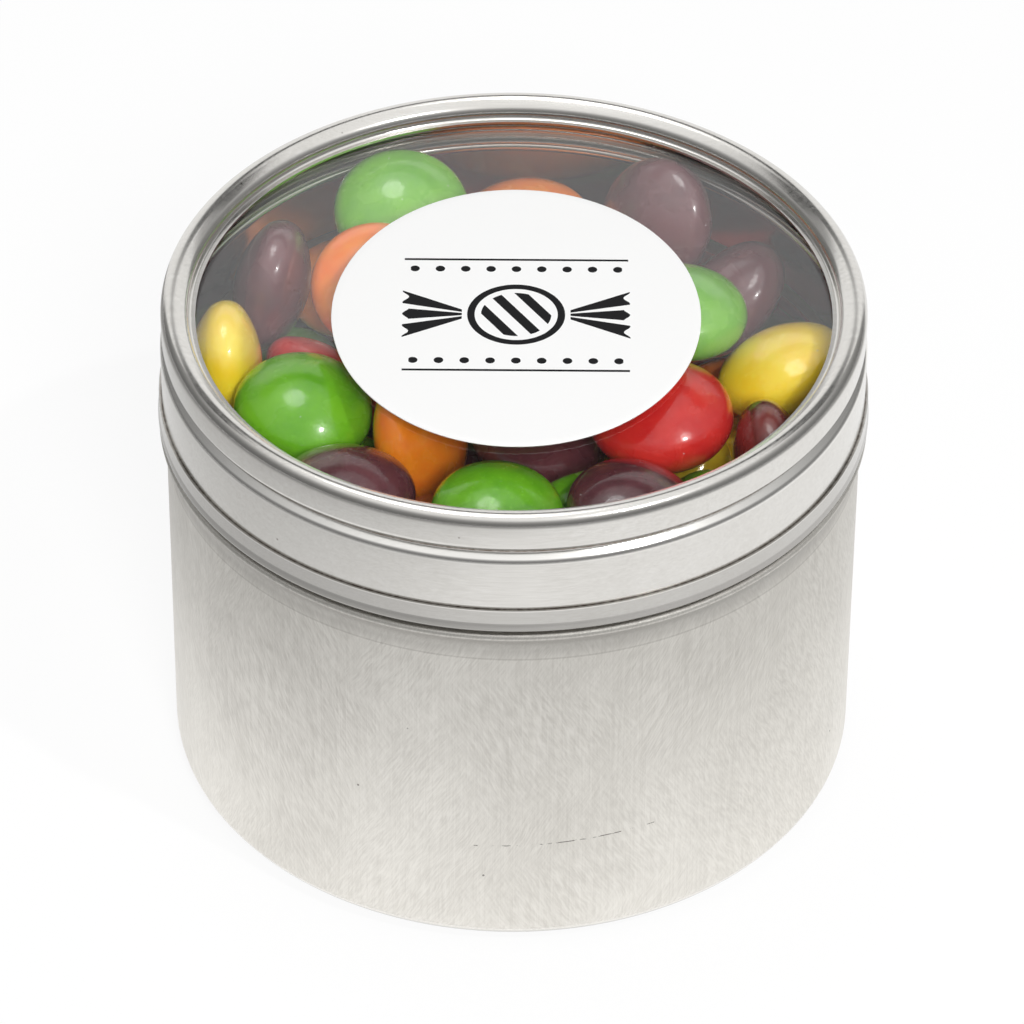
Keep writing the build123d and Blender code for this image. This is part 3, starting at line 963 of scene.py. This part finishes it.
def card(name, grid, tones):
    # a sheet that only mirrors see, as grey as its tones say, so that the metal shows something
    # dark; it is lighter by sideLean at +X and darker by as much at -X
    mesh = bpy.data.meshes.new(name)
    faces = gridFaces(*grid.shape[:2])
    mesh.from_pydata(grid.reshape(-1, 3).tolist(), [], faces.reshape(-1, 4).tolist())
    heading = np.arctan2(grid[..., 1], grid[..., 0])
    tones = np.reshape(tones, (-1, 1)) * (1 + studio["sideLean"] * np.cos(heading))
    tones = np.clip(tones, 0, 1).astype(np.float32)
    mesh.attributes.new("tone", "FLOAT", "POINT").data.foreach_set("value", tones.ravel())
    sheet = newObject(name, mesh)
    f = Finish(name)
    tone = f.add("ShaderNodeAttribute", attribute_name="tone").outputs["Fac"]
    f.show(f.add("ShaderNodeEmission", {"Strength": tone}).outputs[0])
    mesh.materials.append(f.material)
    for kind in ("camera", "diffuse", "transmission", "volume_scatter", "shadow"):
        setattr(sheet, "visible_" + kind, False)


def dome(radius, elevations, headings):
    # places on a ball about the middle of the window, at the given angles in degrees
    rise, turn = np.meshgrid(np.radians(elevations), np.radians(headings), indexing="ij")
    grid = np.stack([np.cos(rise) * np.cos(turn), np.cos(rise) * np.sin(turn), np.sin(rise)], -1)
    return grid * radius + (0, 0, studio["eyeLevel"])


def cards():
    # a tent, darkest low down and open behind; the far table; and a dark sheet high up behind
    c = studio["tent"]
    rises = np.linspace(c["elevations"][0], c["elevations"][-1], c["rows"])
    headings = np.linspace(90 + c["openDegrees"], 450 - c["openDegrees"], c["columns"])
    card("TentCard", dome(c["radius"], rises, headings),
         np.interp(rises, c["elevations"], c["tones"]))
    c = studio["table"]
    radii = np.linspace(c["radii"][0], c["radii"][-1], c["rows"])
    turn = np.radians(headings)
    x, y = np.outer(radii, np.cos(turn)), np.outer(radii, np.sin(turn))
    grid = np.stack([x, y, np.full(x.shape, c["height"])], -1) + (*c["middle"], 0)
    card("TableCard", grid, np.interp(radii, c["radii"], c["tones"]))
    c = studio["backCard"]
    rises = np.linspace(c["lowDegrees"], c["highDegrees"], c["rows"])
    headings = 90 + np.linspace(-1, 1, c["columns"]) * c["halfWidthDegrees"]
    card("BackCard", dome(c["distance"], rises, headings), c["tone"])


def softLight(name, p):
    lamp = bpy.data.lights.new(name, "AREA")
    lamp.shape = "ELLIPSE"
    lamp.size, lamp.size_y = p["size"]
    lamp.energy = p["watts"]
    light = newObject(name, lamp)
    direction = Vector(p["direction"]).normalized()
    light.location = direction * p["distance"] + Vector(studio["lampAim"])
    light.rotation_euler = direction.to_track_quat("Z", "Y").to_euler()
    light.visible_glossy = p.get("mirrored", True)


# metres, but the elevation is in degrees, the roll in radians, lens and sensor in millimetres
view = dict(
    elevation=39.58, distance=0.60554, target=(-0.00006, 0.0, 0.02585), roll=0.007,
    lens=220.9, sensorWidth=36.0, clipStart=0.01,
)


def camera():
    # looks towards +Y and down on the target; back, right and up are the camera's own axes
    e = math.radians(view["elevation"])
    back = Vector((0, -math.cos(e), math.sin(e)))
    right, up = Vector((1, 0, 0)), Vector((0, math.sin(e), math.cos(e)))
    c, s = math.cos(view["roll"]), math.sin(view["roll"])
    right, up = right * c + up * s, up * c - right * s
    lens = bpy.data.cameras.new("Camera")
    lens.lens, lens.sensor_width = view["lens"], view["sensorWidth"]
    lens.clip_start = view["clipStart"]
    eye = newObject("Camera", lens)
    axes = Matrix((right, up, back)).transposed().to_4x4()
    eye.matrix_world = Matrix.Translation(Vector(view["target"]) + back * view["distance"]) @ axes
    bpy.context.scene.camera = eye


paleWorld()
paleFloor()
cards()
for name in ("softbox", "spot", "fill"):
    softLight(name.capitalize(), studio[name])
camera()
bpy.context.scene.view_settings.view_transform = "Standard"
print("studio made")
